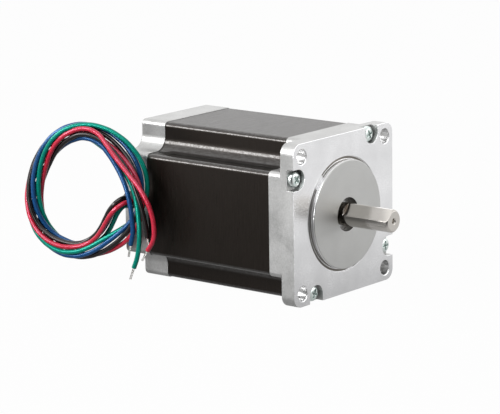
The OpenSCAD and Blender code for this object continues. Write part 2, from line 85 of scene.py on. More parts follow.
class Photo:
    """The photograph's camera, as fitted to the motor's edges."""

    WIDTH = 500
    FOCAL = 2619.9
    SENSOR = 36 * MM
    AZIMUTH = math.radians(-50.903)
    ELEVATION = math.radians(12.102)
    ROLL = math.radians(-0.822)
    DISTANCE = 924.1 * MM
    AIM = Vector((0, 38, 0)) * MM
    AIM_RIGHT = -2.900 * MM
    AIM_UP = -2.276 * MM

    def place(self) -> bpy.types.Object:
        """Makes the scene's camera at the photograph's place and angle.

        Returns:
            The camera object.
        """
        azimuth, elevation = self.AZIMUTH, self.ELEVATION
        back = Vector((math.sin(azimuth) * math.cos(elevation), -math.cos(azimuth) * math.cos(elevation),
                       math.sin(elevation)))
        level = Vector((math.cos(azimuth), math.sin(azimuth), 0))
        upright = back.cross(level)
        right = level * math.cos(self.ROLL) + upright * math.sin(self.ROLL)
        top = upright * math.cos(self.ROLL) - level * math.sin(self.ROLL)
        eye = self.AIM + right * self.AIM_RIGHT + top * self.AIM_UP + back * self.DISTANCE
        data = bpy.data.cameras.new("photo_camera")
        data.sensor_width = self.SENSOR / MM
        data.lens = data.sensor_width * self.FOCAL / self.WIDTH
        data.clip_start, data.clip_end = 0.05, 20
        camera = bpy.data.objects.new("photo_camera", data)
        camera.matrix_world = Matrix((
            (right.x, top.x, back.x, eye.x), (right.y, top.y, back.y, eye.y),
            (right.z, top.z, back.z, eye.z), (0, 0, 0, 1)))
        bpy.context.scene.collection.objects.link(camera)
        bpy.context.scene.camera = camera
        return camera


class Graph:
    """A node tree, with short ways to add and link its nodes."""

    def __init__(self, tree: bpy.types.NodeTree) -> None:
        """Keeps the tree and empties it.

        Args:
            tree: The material's, the world's or the group's node tree.
        """
        self.tree = tree
        tree.nodes.clear()

    def add(self, kind: str, inputs: dict[str | int, object] | None = None, **settings: object) -> Node:
        """Adds one node.

        Args:
            kind: The node's Blender type name, without its ShaderNode prefix.
            inputs: Values or sockets for the node's inputs, by name or number.
            settings: The node's own properties.

        Returns:
            The new node.
        """
        node = self.tree.nodes.new("ShaderNode" + kind)
        for name, value in settings.items():
            setattr(node, name, value)
        for key, value in (inputs or {}).items():
            if isinstance(value, bpy.types.NodeSocket):
                self.tree.links.new(value, node.inputs[key])
            else:
                node.inputs[key].default_value = value
        return node

    def math(self, operation: str, *values: float | Socket, clamp: bool = False) -> Socket:
        """Adds a Math node and returns its result.

        Args:
            operation: The Math node's operation.
            values: Its numbers or sockets, in order.
            clamp: Whether the result is kept between 0 and 1.

        Returns:
            The result's socket.
        """
        return self.add("Math", dict(enumerate(values)), operation=operation, use_clamp=clamp).outputs[0]

    def scaled(self, value: Socket, low: float, high: float) -> Socket:
        """Maps a value of 0 to 1 onto low to high, and returns the result."""
        return self.add("MapRange", {"Value": value, "To Min": low, "To Max": high}).outputs["Result"]

    def mixed(self, factor: Socket, first: Sequence[float], second: Sequence[float]) -> Socket:
        """Mixes two colours, and returns the result.

        Args:
            factor: 0 gives the first colour and 1 the second.
            first: The first colour's red, green and blue.
            second: The second colour's red, green and blue.

        Returns:
            The mixed colour's socket.
        """
        mix = self.add("Mix", data_type="RGBA")
        self.tree.links.new(factor, mix.inputs[0])
        mix.inputs[6].default_value = (*first, 1)
        mix.inputs[7].default_value = (*second, 1)
        return mix.outputs[2]


class Effects:
    """Surface effects that several finishes share, each one node group."""

    def __init__(self) -> None:
        """Starts with no group built."""
        self.built: dict[str, bpy.types.NodeTree] = {}

    def group(self, name: str, inputs: dict[str, float]) -> tuple[Graph, Node, Node]:
        """Starts a group with number inputs and the outputs Mask and Height.

        Args:
            name: The group's name.
            inputs: Each input's name and first value.

        Returns:
            The group's graph, its input node and its output node.
        """
        tree = bpy.data.node_groups.new(name, "ShaderNodeTree")
        for key, value in inputs.items():
            tree.interface.new_socket(key, in_out="INPUT", socket_type="NodeSocketFloat").default_value = value
        for key in ("Mask", "Height"):
            tree.interface.new_socket(key, in_out="OUTPUT", socket_type="NodeSocketFloat")
        graph = Graph(tree)
        start = tree.nodes.new("NodeGroupInput")
        end = tree.nodes.new("NodeGroupOutput")
        self.built[name] = tree
        return graph, start, end

    def place(self, graph: Graph, name: str, **inputs: float) -> Node:
        """Puts a group into a material, and builds it the first time.

        Args:
            graph: The material's graph.
            name: The group's name, one of this class's builders.
            inputs: The group's values in this material.

        Returns:
            The group's node.
        """
        if name not in self.built:
            getattr(self, name)()
        node = graph.tree.nodes.new("ShaderNodeGroup")
        node.node_tree = self.built[name]
        for key, value in inputs.items():
            node.inputs[key.capitalize()].default_value = value
        return node

    def turned(self) -> None:
        """Builds fine lathe rings about the shaft's axis, broken up by a slow drift."""
        graph, start, end = self.group("turned", {"Pitch": 0.2 * MM, "Drift": 0.5})
        place = graph.add("TexCoord").outputs["Object"]
        axes = graph.add("SeparateXYZ", {0: place})
        reach = graph.math("SQRT", graph.math("ADD", graph.math("POWER", axes.outputs["X"], 2.0),
                                              graph.math("POWER", axes.outputs["Z"], 2.0)))
        drift = graph.add("TexNoise", {"Vector": place, "Scale": 160.0, "Detail": 2.0}).outputs["Fac"]
        shift = graph.math("MULTIPLY", drift, start.outputs["Drift"])
        turns = graph.math("ADD", graph.math("DIVIDE", reach, start.outputs["Pitch"]), shift)
        rings = graph.add("TexNoise", {"W": turns, "Scale": 1.0, "Detail": 2.0}, noise_dimensions="1D")
        band = graph.math("MULTIPLY", graph.math("ADD", rings.outputs["Fac"], drift), 0.5)
        graph.tree.links.new(band, end.inputs["Mask"])
        graph.tree.links.new(rings.outputs["Fac"], end.inputs["Height"])

    def grained(self) -> None:
        """Builds the fine cast and blasted grain of a machined bell."""
        graph, start, end = self.group("grained", {"Fineness": 2600.0, "Blotch": 90.0})
        place = graph.add("TexCoord").outputs["Object"]
        grain = graph.add("TexNoise", {"Vector": place, "Scale": start.outputs["Fineness"], "Detail": 3.0})
        blotch = graph.add("TexNoise", {"Vector": place, "Scale": start.outputs["Blotch"], "Detail": 4.0})
        both = graph.math("ADD", grain.outputs["Fac"], blotch.outputs["Fac"])
        mask = graph.add("MapRange", {"Value": both, "From Min": 0.7, "From Max": 1.3}).outputs["Result"]
        graph.tree.links.new(mask, end.inputs["Mask"])
        graph.tree.links.new(grain.outputs["Fac"], end.inputs["Height"])

    def drawn(self) -> None:
        """Builds fine scratches that run along one axis, for ground and brushed metal."""
        graph, start, end = self.group("drawn", {"Across x": 1.0, "Across y": 1.0, "Across z": 1.0,
                                                 "Fineness": 3000.0})
        place = graph.add("TexCoord").outputs["Object"]
        stretch = graph.add("CombineXYZ", {0: start.outputs["Across x"], 1: start.outputs["Across y"],
                                           2: start.outputs["Across z"]})
        drawn_out = graph.add("VectorMath", {0: place, 1: stretch.outputs[0]}, operation="MULTIPLY")
        lines = graph.add("TexNoise", {"Vector": drawn_out.outputs[0], "Scale": start.outputs["Fineness"],
                                       "Detail": 3.0})
        graph.tree.links.new(lines.outputs["Fac"], end.inputs["Mask"])
        graph.tree.links.new(lines.outputs["Fac"], end.inputs["Height"])

    def rounded(self) -> None:
        """Builds the mask of what curves between the motor's flat sides, where grainy lacquer lies glossier."""
        graph, start, end = self.group("rounded", {"Flat": 0.995, "Round": 0.955, "Fineness": 1600.0})
        spots = graph.add("TexCoord")
        axes = graph.add("SeparateXYZ", {0: spots.outputs["Normal"]})
        level = graph.math("MAXIMUM", graph.math("ABSOLUTE", axes.outputs["X"]),
                           graph.math("ABSOLUTE", axes.outputs["Z"]))
        mask = graph.add("MapRange", {"Value": level, "From Min": start.outputs["Flat"],
                                      "From Max": start.outputs["Round"]}, interpolation_type="SMOOTHSTEP")
        grain = graph.add("TexNoise", {"Vector": spots.outputs["Object"], "Scale": start.outputs["Fineness"],
                                       "Detail": 2.0})
        share = graph.add("MapRange", {"Value": grain.outputs["Fac"], "From Min": 0.38, "From Max": 0.62,
                                       "To Min": 0.35}).outputs["Result"]
        graph.tree.links.new(graph.math("MULTIPLY", mask.outputs["Result"], share), end.inputs["Mask"])
        graph.tree.links.new(grain.outputs["Fac"], end.inputs["Height"])

    def laminated(self) -> None:
        """Builds the edges of stacked sheets, each a little proud or shy of the next."""
        graph, start, end = self.group("laminated", {"Sheet": 0.5 * MM, "Wander": 0.3})
        place = graph.add("TexCoord").outputs["Object"]
        along = graph.add("SeparateXYZ", {0: place}).outputs["Y"]
        count = graph.math("DIVIDE", along, start.outputs["Sheet"])
        sheet = graph.add("TexWhiteNoise", {"W": graph.math("FLOOR", count)}, noise_dimensions="1D")
        seam = graph.math("SMOOTH_MIN", graph.math("MULTIPLY", graph.math("PINGPONG", count, 0.5), 6.0), 1.0, 0.2)
        streak = graph.add("TexNoise", {"Vector": place, "Scale": 700.0, "Detail": 3.0}).outputs["Fac"]
        wander = graph.math("MULTIPLY", streak, start.outputs["Wander"])
        proud = graph.math("ADD", graph.math("MULTIPLY", sheet.outputs["Value"], 0.5), wander)
        graph.tree.links.new(graph.math("MULTIPLY", proud, 1.0, clamp=True), end.inputs["Mask"])
        graph.tree.links.new(graph.math("MULTIPLY", seam, proud), end.inputs["Height"])


EFFECTS = Effects()


@dataclass(frozen=True)
class Finish:
    """A surface of one colour pair, with one shared effect that varies its gloss and its relief.

    The mask of the effect takes the colour from colour to worn and the roughness from smooth to rough.
    """

    name: str
    colour: tuple[float, float, float]
    worn: tuple[float, float, float]
    smooth: float
    rough: float
    metallic: float = 1.0
    relief: float = 0.01 * MM
    effect: str = "grained"
    values: tuple[tuple[str, float], ...] = ()
    coat: float = 0.0
    coat_roughness: float = 0.2
    coat_ior: float = 1.5
    coated: str = ""
    ior: float = 1.5
    tint: tuple[float, float, float] = (1.0, 1.0, 1.0)

    def made(self) -> bpy.types.Material:
        """Builds the finish's material once, and returns it."""
        title = f"{self.name}_look"
        known = bpy.data.materials.get(title)
        if known:
            return known
        material = bpy.data.materials.new(title)
        material.use_nodes = True
        graph = Graph(material.node_tree)
        effect = EFFECTS.place(graph, self.effect, **dict(self.values))
        bump = graph.add("Bump", {"Distance": self.relief, "Height": effect.outputs["Height"]})
        coat = self.coat
        if self.coated:
            coat = graph.math("MULTIPLY", EFFECTS.place(graph, self.coated).outputs["Mask"], self.coat)
        shader = graph.add("BsdfPrincipled", {
            "Base Color": graph.mixed(effect.outputs["Mask"], self.colour, self.worn),
            "Roughness": graph.scaled(effect.outputs["Mask"], self.smooth, self.rough),
            "Metallic": self.metallic, "IOR": self.ior, "Normal": bump.outputs[0],
            "Specular Tint": (*self.tint, 1), "Coat Weight": coat, "Coat Roughness": self.coat_roughness,
            "Coat IOR": self.coat_ior})
        output = graph.add("OutputMaterial")
        graph.tree.links.new(shader.outputs[0], output.inputs["Surface"])
        return material


SIDE_ALUMINIUM = Finish("side_aluminium", (0.38, 0.38, 0.375), (0.55, 0.55, 0.545), 0.36, 0.5,
                        relief=0.012 * MM)
FACE_ALUMINIUM = Finish("face_aluminium", (0.8, 0.8, 0.81), (0.94, 0.94, 0.95), 0.18, 0.3,
                        relief=0.003 * MM)
RIM_ALUMINIUM = Finish("rim_aluminium", (0.78, 0.78, 0.78), (0.9, 0.9, 0.9), 0.16, 0.24, relief=0.0002 * MM,
                       effect="turned", values=(("pitch", 0.3 * MM),))
BORE_ALUMINIUM = Finish("bore_aluminium", (0.66, 0.66, 0.66), (0.84, 0.84, 0.84), 0.3, 0.42, relief=0.002 * MM)
BOSS_ALUMINIUM = Finish("boss_aluminium", (0.45, 0.45, 0.44), (0.58, 0.58, 0.57), 0.38, 0.48,
                        relief=0.002 * MM, effect="turned", values=(("pitch", 0.3 * MM), ("drift", 0.9)))
LAMINATION_BLACK = Finish("lamination_black", (0.0036, 0.0026, 0.002), (0.007, 0.0054, 0.0044), 0.24, 0.36,
                          metallic=0.0, relief=0.06 * MM, effect="drawn",
                          values=(("across x", 0.1), ("across z", 0.1), ("fineness", 2000.0)),
                          coat=1.0, coat_roughness=0.12, coat_ior=1.6, coated="rounded", ior=1.35,
                          tint=(1.0, 0.86, 0.76))
ZINC = Finish("zinc_plate", (0.66, 0.75, 0.73), (0.84, 0.88, 0.86), 0.16, 0.34, relief=0.006 * MM,
              values=(("fineness", 1500.0), ("blotch", 500.0)))
GROUND_STEEL = Finish("ground_steel", (0.5, 0.475, 0.44), (0.7, 0.675, 0.64), 0.1, 0.22, relief=0.003 * MM,
                      effect="drawn", values=(("across y", 4.0),))
# Painted shade: a dark brown on the step that ends the shaft's flat, which is bare ground steel.
CUT_END_PAINTED_SHADE = Finish("cut_end_painted_shade", (0.1, 0.075, 0.055), (0.2, 0.155, 0.12), 0.4, 0.6)
# Painted shade: a dark brown for the shaded inside of the mouth and bearing seat, which are bare aluminium.
MOUTH_PAINTED_SHADE = Finish("mouth_painted_shade", (0.13, 0.12, 0.105), (0.22, 0.205, 0.185), 0.3, 0.45,
                         effect="turned", values=(("pitch", 0.3 * MM),))
GRIP_RUBBER = Finish("grommet_rubber", (0.012, 0.012, 0.013), (0.03, 0.03, 0.032), 0.5, 0.7, metallic=0.0,
                     relief=0.02 * MM)
BEARING_STEEL = Finish("bearing_steel", (0.42, 0.43, 0.44), (0.6, 0.61, 0.62), 0.16, 0.3, relief=0.002 * MM,
                       effect="turned", values=(("pitch", 0.1 * MM),))
BALL_STEEL = Finish("ball_steel", (0.6, 0.61, 0.62), (0.7, 0.71, 0.72), 0.05, 0.1, relief=0.0005 * MM)
CAGE_BRASS = Finish("cage_brass", (0.5, 0.33, 0.11), (0.66, 0.47, 0.2), 0.25, 0.4)
SHIELD_STEEL = Finish("shield_steel", (0.36, 0.36, 0.37), (0.5, 0.5, 0.51), 0.25, 0.4, effect="turned")
SPRING_STEEL = Finish("spring_steel", (0.25, 0.25, 0.26), (0.4, 0.4, 0.41), 0.25, 0.45)
ROTOR_IRON = Finish("rotor_iron", (0.28, 0.285, 0.29), (0.42, 0.43, 0.44), 0.3, 0.5, relief=0.02 * MM,
                    effect="laminated")
MAGNET = Finish("magnet", (0.06, 0.06, 0.065), (0.12, 0.12, 0.125), 0.4, 0.6, relief=0.02 * MM)
BOBBIN = Finish("bobbin_plastic", (0.74, 0.7, 0.58), (0.82, 0.78, 0.67), 0.4, 0.55, metallic=0.0,
                relief=0.01 * MM)
MAGNET_WIRE = Finish("magnet_wire", (0.38, 0.1, 0.03), (0.72, 0.28, 0.1), 0.2, 0.36, relief=0.12 * MM,
                     effect="laminated", values=(("sheet", 0.55 * MM), ("wander", 0.5)), coat=0.4)
BOARD = Finish("board_green", (0.015, 0.1, 0.035), (0.03, 0.17, 0.06), 0.3, 0.42, metallic=0.0,
               relief=0.01 * MM)
TINNED = Finish("tinned_strands", (0.56, 0.55, 0.53), (0.74, 0.73, 0.71), 0.22, 0.4, relief=0.01 * MM)


def insulation(colour: str, base: tuple[float, float, float], lit: tuple[float, float, float],
               shine: tuple[float, float, float]) -> Finish:
    """Gives the glossy plastic insulation of one lead.

    Args:
        colour: The lead's colour name.
        base: Its colour.
        lit: Its colour where the plastic is paler.
        shine: The tint of its gloss.

    Returns:
        The finish.
    """
    return Finish(f"{colour}_insulation", base, lit, 0.14, 0.24, metallic=0.0, relief=0.0015 * MM,
                  values=(("fineness", 900.0), ("blotch", 60.0)), ior=1.8, tint=shine)


class Solid:
    """A closed mesh that is shaped in the motor's frame and ends as one piece."""

    def __init__(self, mesh: bmesh.types.BMesh) -> None:
        """Keeps the mesh.

        Args:
            mesh: A closed mesh.
        """
        self.mesh = mesh

    @classmethod
    def spun(cls, profile: Profile, steps: int = 96, closed: bool = False) -> "Solid":
        """Turns a profile about the shaft's axis.

        Args:
            profile: Radius and Y of each point.
            steps: How many faces go round.
            closed: Whether the last point joins the first, as in a ring.

        Returns:
            The solid.
        """
        mesh = bmesh.new()
        points = [mesh.verts.new((radius, y, 0)) for radius, y in profile]
        pairs = list(zip(points, points[1:])) + ([(points[-1], points[0])] if closed else [])
        edges = [mesh.edges.new(pair) for pair in pairs]
        bmesh.ops.spin(mesh, geom=[*points, *edges], cent=(0, 0, 0), axis=(0, 1, 0), angle=2 * math.pi,
                       steps=steps, use_merge=True)
        bmesh.ops.remove_doubles(mesh, verts=mesh.verts, dist=MM / 10000)
        bmesh.ops.recalc_face_normals(mesh, faces=mesh.faces)
        return cls(mesh)

    @classmethod
    def slab(cls, outline: Profile, start: float, end: float) -> "Solid":
        """Extrudes an outline along the shaft's axis.

        Args:
            outline: X and Z of each corner.
            start: Where it starts, in Y.
            end: Where it ends, in Y.

        Returns:
            The solid.
        """
        mesh = bmesh.new()
        face = mesh.faces.new([mesh.verts.new((x, start, z)) for x, z in outline])
        grown = bmesh.ops.extrude_face_region(mesh, geom=[face])["geom"]
        moved = [item for item in grown if isinstance(item, bmesh.types.BMVert)]
        bmesh.ops.translate(mesh, verts=moved, vec=(0, end - start, 0))
        bmesh.ops.recalc_face_normals(mesh, faces=mesh.faces)
        return cls(mesh)

    @classmethod
    def square(cls, side: float, start: float, end: float) -> "Solid":
        """Gives a square slab about the shaft's axis.

        Args:
            side: The square's side.
            start: Where it starts, in Y.
            end: Where it ends, in Y.

        Returns:
            The solid.
        """
        half = side / 2
        return cls.slab([(half, half), (-half, half), (-half, -half), (half, -half)], start, end)

    def bevel(self, edges: Iterable[bmesh.types.BMEdge], width: float, segments: int) -> "Solid":
        """Rounds edges, and returns the solid."""
        bmesh.ops.bevel(self.mesh, geom=list(edges), affect="EDGES", offset=width, segments=segments,
                        profile=0.5, material=-1, clamp_overlap=False)
        return self

    def long_edges(self, hollow: bool) -> list[bmesh.types.BMEdge]:
        """Finds the square edges along the shaft's axis.

        Args:
            hollow: Whether to give the inner edges and not the outer ones.

        Returns:
            The edges.
        """
        found = []
        for edge in self.mesh.edges:
            way = (edge.verts[1].co - edge.verts[0].co).normalized()
            if abs(way.y) > 0.99 and edge.calc_face_angle(0) > math.radians(60):
                if edge.is_convex != hollow:
                    found.append(edge)
        return found

    def end_edges(self, y: float) -> list[bmesh.types.BMEdge]:
        """Finds the edges round the flat end at y."""
        near = MM / 100
        return [edge for edge in self.mesh.edges
                if all(abs(vert.co.y - y) < near for vert in edge.verts) and edge.calc_face_angle(0) > 1]

    def turned(self, degrees: float) -> "Solid":
        """Turns the solid about the shaft's axis, and returns it."""
        bmesh.ops.rotate(self.mesh, verts=self.mesh.verts, cent=(0, 0, 0),
                         matrix=Matrix.Rotation(math.radians(degrees), 3, "Y"))
        return self

    def moved(self, x: float = 0, y: float = 0, z: float = 0) -> "Solid":
        """Moves the solid, and returns it."""
        bmesh.ops.translate(self.mesh, verts=self.mesh.verts, vec=(x, y, z))
        return self

    def with_others(self, others: Iterable["Solid"]) -> "Solid":
        """Takes other solids into this mesh, as separate shells.

        Args:
            others: The solids, which are used up.

        Returns:
            This solid.
        """
        for other in others:
            carried = bpy.data.meshes.new("carried")
            other.mesh.to_mesh(carried)
            self.mesh.from_mesh(carried)
            bpy.data.meshes.remove(carried)
            other.mesh.free()
        return self

    def carved(self, *steps: tuple[Shape, "Solid"]) -> "Solid":
        """Adds and cuts other solids in turn.

        Args:
            steps: Each step's way and its solid, whose shells don't touch each other.

        Returns:
            This solid, carved.
        """
        base = self.to_object("carving")
        tools = []
        for shape, tool in steps:
            cutter = tool.to_object("tool")
            change = base.modifiers.new("carve", "BOOLEAN")
            change.operation = shape.value
            change.solver = "EXACT"
            change.object = cutter
            tools.append(cutter)
        graph = bpy.context.evaluated_depsgraph_get()
        result = bpy.data.meshes.new_from_object(base.evaluated_get(graph))
        self.mesh = bmesh.new()
        self.mesh.from_mesh(result)
        for item in (base, *tools):
            data = item.data
            bpy.data.objects.remove(item)
            bpy.data.meshes.remove(data)
        bpy.data.meshes.remove(result)
        bmesh.ops.remove_doubles(self.mesh, verts=self.mesh.verts, dist=MM / 1000)
        bmesh.ops.dissolve_limit(self.mesh, angle_limit=math.radians(0.3), verts=self.mesh.verts,
                                 edges=self.mesh.edges)
        return self

    def softened(self, width: float, segments: int = 2, least: float = 34) -> "Solid":
        """Breaks every sharp edge.

        Args:
            width: The width of the break.
            segments: How many faces go across it.
            least: The smallest turn of an edge that is broken, in degrees.

        Returns:
            This solid.
        """
        sharp = [edge for edge in self.mesh.edges if edge.calc_face_angle(0) > math.radians(least)]
        sides = [sorted(vert.co[axis] for vert in self.mesh.verts) for axis in range(3)]
        self.bevel(sharp, width, segments)
        for vert in self.mesh.verts:
            vert.co = [min(max(value, side[0]), side[-1]) for value, side in zip(vert.co, sides)]
        return self

    def to_object(self, name: str) -> bpy.types.Object:
        """Makes the mesh an object at the origin, and uses the mesh up.

        Args:
            name: The object's name.

        Returns:
            The object.
        """
        data = bpy.data.meshes.new(name)
        self.mesh.to_mesh(data)
        self.mesh.free()
        made = bpy.data.objects.new(name, data)
        bpy.context.scene.collection.objects.link(made)
        return made

    def to_piece(self, name: str, body: str, slot: str, finishes: Sequence[Finish],
                 nodes: Sequence[str], smooth: float = 40) -> bpy.types.Object:
        """Finishes the solid as a piece of the motor.

        Args:
            name: The piece's name.
            body: The CAD body that it rides on.
            slot: The record's material slot; it is not used.
            finishes: Its finishes, in the order of its faces' material numbers.
            nodes: The CAD nodes that it stands for.
            smooth: Faces that meet at less than this angle are shaded as one, in degrees.

        Returns:
            The piece.
        """
        piece = self.to_object(name)
        piece.data.shade_smooth()
        piece.data.set_sharp_from_angle(angle=math.radians(smooth))
        weighted = piece.modifiers.new("flat_faces", "WEIGHTED_NORMAL")
        weighted.keep_sharp = True
        for finish in finishes:
            piece.data.materials.append(finish.made())
        return settle(piece, body, nodes)


def settle(piece: bpy.types.Object, body: str, nodes: Sequence[str]) -> bpy.types.Object:
    """Hangs a piece on its body and hides the CAD nodes that it stands for.

    Args:
        piece: The piece, in place.
        body: The CAD body that it rides on.
        nodes: The CAD nodes that it stands for.

    Returns:
        The piece.
    """
    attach(piece, body)
    if nodes:
        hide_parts(*nodes)
    LOG.info("%s rides on %s", piece.name, body)
    return piece


@dataclass
class Housing:
    """Both bells, the stator between them and the four through screws."""

    width: float = 56.4 * MM
    flange: float = 5.6 * MM
    bell: float = 10.8 * MM
    stack_end: float = 65 * MM
    rear: float = 76 * MM
    wing: float = 18.3 * MM
    notch: float = 4.8 * MM
    edge: float = 1.8 * MM
    corner: float = 3.8 * MM
    inset: float = 0.2 * MM
    rear_chamfer: float = 0.7 * MM
    hole_span: float = 47.14 * MM
    hole_radius: float = 2.55 * MM
    hole_chamfer: float = 0.25 * MM
    boss_radius: float = 19.05 * MM
    boss_height: float = 1.6 * MM
    boss_chamfer: float = 0.3 * MM
    relief_width: float = 1.1 * MM
    relief_depth: float = 0.4 * MM
    mouth_radius: float = 5.9 * MM
    bearing_radius: float = 11 * MM
    bearing_width: float = 7 * MM
    seat_front: float = 1.2 * MM
    seat_rear: float = 66.5 * MM
    cavity_radius: float = 25.4 * MM
    hub_radius: float = 13.6 * MM
    front_cavity: float = 5 * MM
    rear_floor: float = 2.8 * MM
    rear_wall: float = 1.5 * MM
    recess_radius: float = 8 * MM
    recess_depth: float = 0.5 * MM
    lip: float = 0.4 * MM
    screw_radius: float = 1.5 * MM
    screw_gap: float = 0.2 * MM
    screw_far: float = 25.2 * MM
    screw_near: float = 16 * MM
    screw_tip: float = 0.8 * MM
    pocket_radius: float = 3.6 * MM
    pocket_depth: float = 2.8 * MM
    pocket_reach: float = 6.1 * MM
    head_radius: float = 2.75 * MM
    head_height: float = 1.9 * MM
    cross_width: float = 0.8 * MM
    cross_length: float = 3.2 * MM
    cross_depth: float = 1.1 * MM
    grommet_hole: float = 2.6 * MM
    break_width: float = 0.16 * MM
    over: float = 0.5 * MM

    def notched(self, inset: float, start: float, end: float) -> Solid:
        """Gives a length of the motor's outline, a square with a hollow notch in each corner.

        Args:
            inset: How far the outline is drawn in.
            start: Where it starts, in Y.
            end: Where it ends, in Y.

        Returns:
            The solid.
        """
        out, near = self.width / 2 - inset, self.wing - inset
        quarter = [(out, -near), (out, near), (near, near)]
        outline = []
        for turn in range(4):
            for x, z in quarter:
                for _ in range(turn):
                    x, z = -z, x
                outline.append((x, z))
        solid = Solid.slab(outline, start, end)
        solid.bevel(solid.long_edges(hollow=True), self.notch, 14)
        return solid.bevel(solid.long_edges(hollow=False), self.edge, 8)

    def rod(self, radius: float, start: float, end: float, steps: int = 64) -> Solid:
        """Gives a plain rod on the shaft's axis."""
        return Solid.spun([(0, start), (radius, start), (radius, end), (0, end)], steps)

    def ring(self, inner: float, outer: float, start: float, end: float) -> Solid:
        """Gives a plain ring about the shaft's axis."""
        return Solid.spun([(inner, start), (outer, start), (outer, end), (inner, end)], closed=True)

    def at_screws(self, solids: Iterable[Solid]) -> Solid:
        """Puts four like solids, made on the axis, at the four screws' places.

        Args:
            solids: The four solids.

        Returns:
            The four as one solid.
        """
        placed = [solid.moved(self.screw_far, 0, -self.screw_near).turned(90 * turn)
                  for turn, solid in enumerate(solids)]
        return placed[0].with_others(placed[1:])

    def at_holes(self, solids: Iterable[Solid]) -> Solid:
        """Puts four like solids, made on the axis, at the mounting holes' places.

        Args:
            solids: The four solids.

        Returns:
            The four as one solid.
        """
        half = self.hole_span / 2
        placed = [solid.moved(half, 0, half).turned(90 * turn) for turn, solid in enumerate(solids)]
        return placed[0].with_others(placed[1:])

    def front_bell(self) -> bpy.types.Object:
        """Makes the front bell with its ears, boss, groove, holes and screw pockets."""
        body = Solid.square(self.width, 0, self.flange)
        body.bevel(body.long_edges(hollow=False), self.corner, 12)
        boss = Solid.spun([(0, -self.boss_height), (self.boss_radius - self.boss_chamfer, -self.boss_height),
                           (self.boss_radius, self.boss_chamfer - self.boss_height),
                           (self.boss_radius, self.over), (0, self.over)], 160)
        groove = Solid.spun([(self.boss_radius, -self.over), (self.boss_radius + self.relief_width, -self.over),
                             (self.boss_radius + self.relief_width, self.relief_depth),
                             (self.boss_radius, self.relief_depth)], 160, closed=True)
        chamfer = self.hole_radius + self.hole_chamfer
        hole = [(0, -self.over), (chamfer + self.over, -self.over), (self.hole_radius, self.hole_chamfer),
                (self.hole_radius, self.bell + self.over), (0, self.bell + self.over)]
        pocket_at = self.pocket_radius - self.pocket_reach + self.width / 2 - self.screw_far
        pockets = []
        for _ in range(4):
            round_end = self.rod(self.pocket_radius, -self.over, self.pocket_depth).moved(pocket_at)
            open_end = Solid.slab([(pocket_at, -self.pocket_radius), (pocket_at + self.pocket_reach, -self.pocket_radius),
                                   (pocket_at + self.pocket_reach, self.pocket_radius),
                                   (pocket_at, self.pocket_radius)], -self.over, self.pocket_depth)
            pockets.append(round_end.carved((Shape.ADD, open_end)))
        channels = [self.rod(self.screw_radius + self.screw_gap, -self.over, self.bell + self.over, 32)
                    for _ in range(4)]
        lip = self.seat_front + self.bearing_width + self.lip
        past_hub = self.hub_radius + self.over
        hub = Solid.spun([(0, -self.boss_height - self.over), (self.mouth_radius, -self.boss_height - self.over),
                          (self.mouth_radius, self.seat_front), (self.bearing_radius, self.seat_front),
                          (self.bearing_radius, lip), (past_hub, lip), (past_hub, self.bell + self.over),
                          (0, self.bell + self.over)])
        cavity = self.ring(self.hub_radius, self.cavity_radius, self.front_cavity, self.bell + self.over)
        body.carved((Shape.ADD, self.notched(0, self.flange - self.over, self.bell)), (Shape.ADD, boss),
                    (Shape.CUT, groove), (Shape.CUT, self.at_holes([Solid.spun(hole, 64) for _ in range(4)])),
                    (Shape.CUT, self.at_screws(pockets)), (Shape.CUT, self.at_screws(channels)),
                    (Shape.CUT, hub), (Shape.CUT, cavity))
        body.softened(self.break_width)
        half = self.hole_span / 2
        for face in body.mesh.faces:
            middle = face.calc_center_median()
            reach = math.hypot(middle.x, middle.z)
            if reach < self.boss_radius - self.boss_chamfer / 2 and middle.y < self.over - self.boss_height:
                face.material_index = 2
            elif self.boss_radius - self.boss_chamfer < reach < self.boss_radius + self.relief_width:
                face.material_index = 3 if middle.y < 0 else int(middle.y < self.over)
            # The mouth and bearing seat take the painted shade.
            elif reach < self.bearing_radius and middle.y > self.break_width - self.boss_height:
                face.material_index = 4
            elif middle.y < self.over and face.normal.y < -0.3:
                face.material_index = 1
            elif math.hypot(abs(middle.x) - half, abs(middle.z) - half) < self.hole_radius + self.hole_chamfer:
                face.material_index = 5
            elif self.over < middle.y <= self.pocket_depth + self.break_width and reach < self.width / 2 - self.over:
                face.material_index = 5
        return body.to_piece("front_bell", HOUSING, "bell_aluminium",
                             (SIDE_ALUMINIUM, FACE_ALUMINIUM, BOSS_ALUMINIUM, RIM_ALUMINIUM, MOUTH_PAINTED_SHADE,
                              BORE_ALUMINIUM), ["front_end_bell"])

